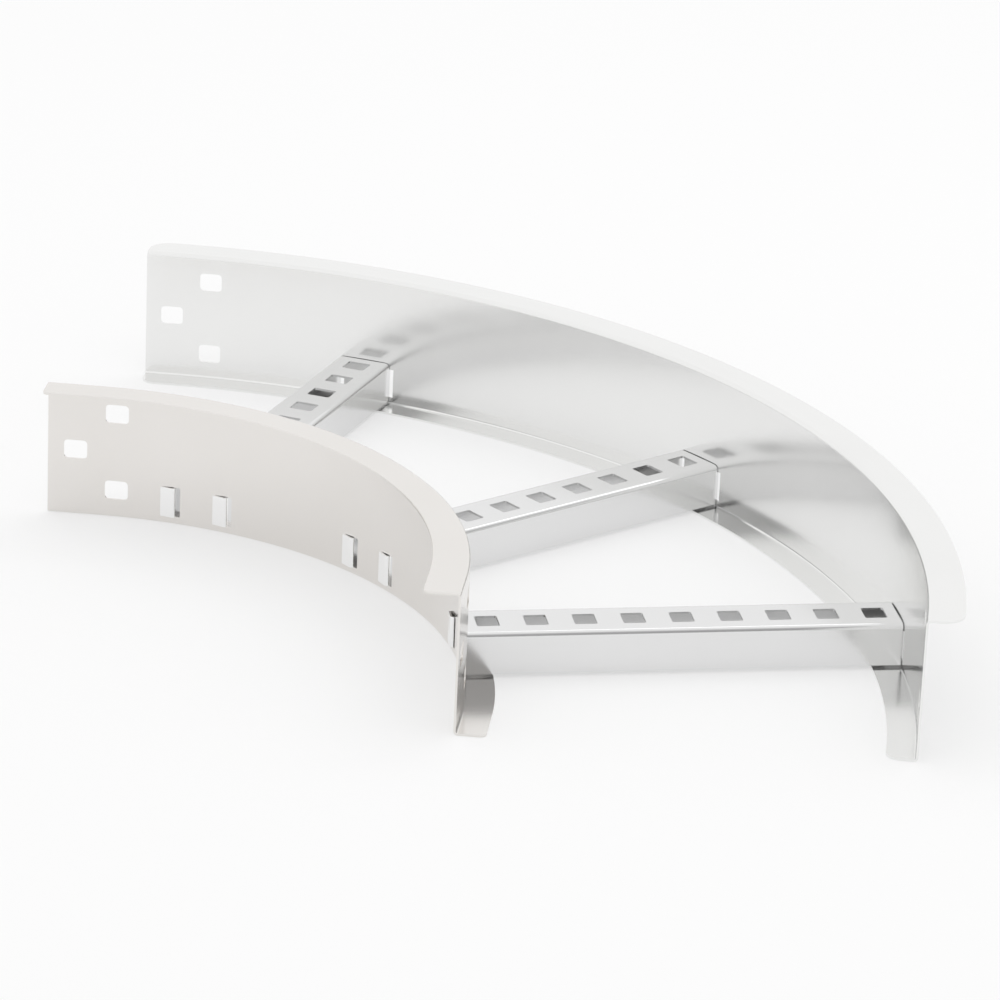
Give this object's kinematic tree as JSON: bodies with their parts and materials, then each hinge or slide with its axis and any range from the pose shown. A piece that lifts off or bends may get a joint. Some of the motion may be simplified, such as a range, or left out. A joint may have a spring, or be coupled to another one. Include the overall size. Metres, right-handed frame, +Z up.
{
  "type": "cable ladder bend",
  "caption": "Flat right-angle cable ladder bend of folded sheet steel: curved Z-section side rails joined by perforated channel rungs, with splice holes at the rail ends.",
  "frame": {"origin": "middle of the footprint, on the plane of the bottom flanges' undersides", "axes": "+Z up; the first rail ends face -Y and the second rail ends face -X; the centre of the bend lies towards -X -Y"},
  "size_m": [0.661, 0.661, 0.1],
  "materials": {
    "steel_sheet": "smooth bare sheet, soft gloss"
  },
  "bodies": {
    "root": {"inner_rail": "steel_sheet", "outer_rail": "steel_sheet", "rung_1": "steel_sheet", "rung_2": "steel_sheet", "rung_3": "steel_sheet"}
  },
  "joints": []
}
